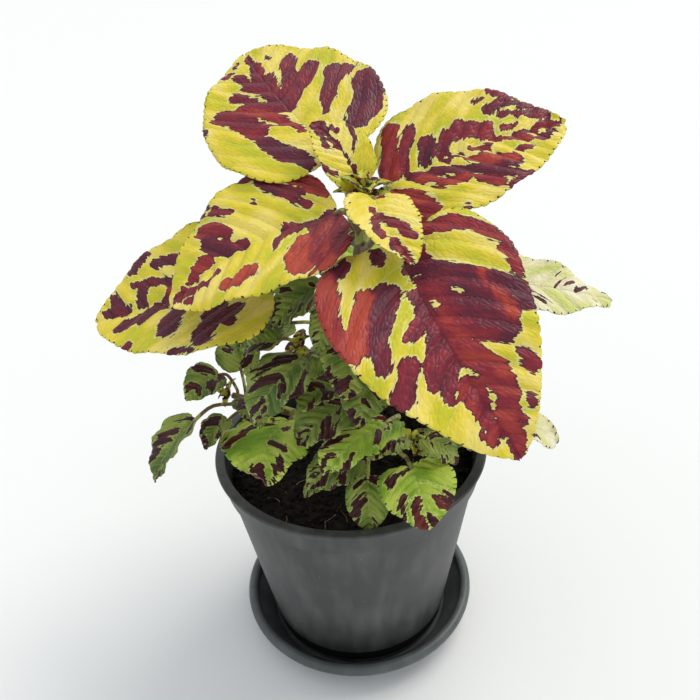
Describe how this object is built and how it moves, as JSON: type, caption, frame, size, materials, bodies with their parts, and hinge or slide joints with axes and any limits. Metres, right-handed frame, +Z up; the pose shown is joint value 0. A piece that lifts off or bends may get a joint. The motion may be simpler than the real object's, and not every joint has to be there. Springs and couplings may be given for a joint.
{
  "type": "potted coleus plant",
  "caption": "Young coleus with variegated leaves in crossed pairs, growing in a round dark plastic nursery pot that stands in a round saucer.",
  "frame": {"origin": "middle of the saucer's flat underside, where it rests", "axes": "+Z up; +Y towards the back of the plant as it is best seen; +X to the right"},
  "size_m": [0.236, 0.212, 0.2974],
  "materials": {
    "pot_plastic": "moulded dark grey polypropylene, slightly scuffed",
    "saucer_plastic": "moulded dark grey polypropylene, satin on its rounded lip",
    "potting_mix": "damp peat and bark potting mix",
    "green_stem": "soft green square stem, maroon in places",
    "upper_leaf": "quilted soft leaf, yellow with maroon and red blotches",
    "lower_leaf": "quilted soft leaf, olive to bright green with maroon blotches",
    "growing_tip": "unopened leaflets, yellow-green flecked with maroon"
  },
  "bodies": {
    "root": {"saucer": "saucer_plastic", "pot": "pot_plastic", "soil": "potting_mix", "main_stem": "green_stem", "side_shoot_back": "green_stem", "side_shoot_front_left": "green_stem", "side_shoot_front_right": "green_stem", "side_shoot_left": "green_stem", "side_shoot_right": "green_stem", "growing_tip_back": "growing_tip", "growing_tip_front_left": "growing_tip", "growing_tip_front_right": "growing_tip", "growing_tip_left": "growing_tip", "growing_tip_main": "growing_tip", "growing_tip_right": "growing_tip", "back_shoot_leaf_left": "lower_leaf", "back_shoot_leaf_low_left": "lower_leaf", "back_shoot_leaf_low_right": "lower_leaf", "back_shoot_leaf_outer": "lower_leaf", "back_shoot_leaf_right": "lower_leaf", "front_left_shoot_leaf_front": "lower_leaf", "front_left_shoot_leaf_left": "lower_leaf", "front_left_shoot_leaf_low": "lower_leaf", "front_left_shoot_leaf_right": "lower_leaf", "front_right_shoot_leaf_back": "lower_leaf", "front_right_shoot_leaf_broad": "lower_leaf", "front_right_shoot_leaf_drooping": "lower_leaf", "front_right_shoot_leaf_front": "lower_leaf", "front_right_shoot_leaf_left": "lower_leaf", "front_right_shoot_leaf_low": "lower_leaf", "front_right_shoot_leaf_right": "lower_leaf", "leaf_inner_front": "lower_leaf", "leaf_inner_left": "lower_leaf", "leaf_lower_left": "lower_leaf", "leaf_lower_right": "upper_leaf", "leaf_middle_back": "upper_leaf", "leaf_middle_front": "lower_leaf", "leaf_middle_left": "upper_leaf", "leaf_middle_right": "upper_leaf", "leaf_top_small_back": "upper_leaf", "leaf_top_small_front": "upper_leaf", "leaf_upper_back": "upper_leaf", "leaf_upper_front": "upper_leaf", "leaf_upper_left": "upper_leaf", "leaf_upper_right": "upper_leaf", "left_shoot_leaf_back": "lower_leaf", "left_shoot_leaf_broad": "lower_leaf", "left_shoot_leaf_inner": "lower_leaf", "left_shoot_leaf_outer": "lower_leaf", "left_shoot_leaf_small": "lower_leaf", "left_shoot_leaf_under": "lower_leaf", "left_shoot_leaf_upper": "lower_leaf", "right_shoot_leaf_back": "lower_leaf", "right_shoot_leaf_front": "lower_leaf", "right_shoot_leaf_low": "lower_leaf", "right_shoot_leaf_outer": "lower_leaf", "stem_leaf_front": "lower_leaf", "stem_leaf_front_right": "lower_leaf", "stem_leaf_lowest": "lower_leaf"}
  },
  "joints": []
}
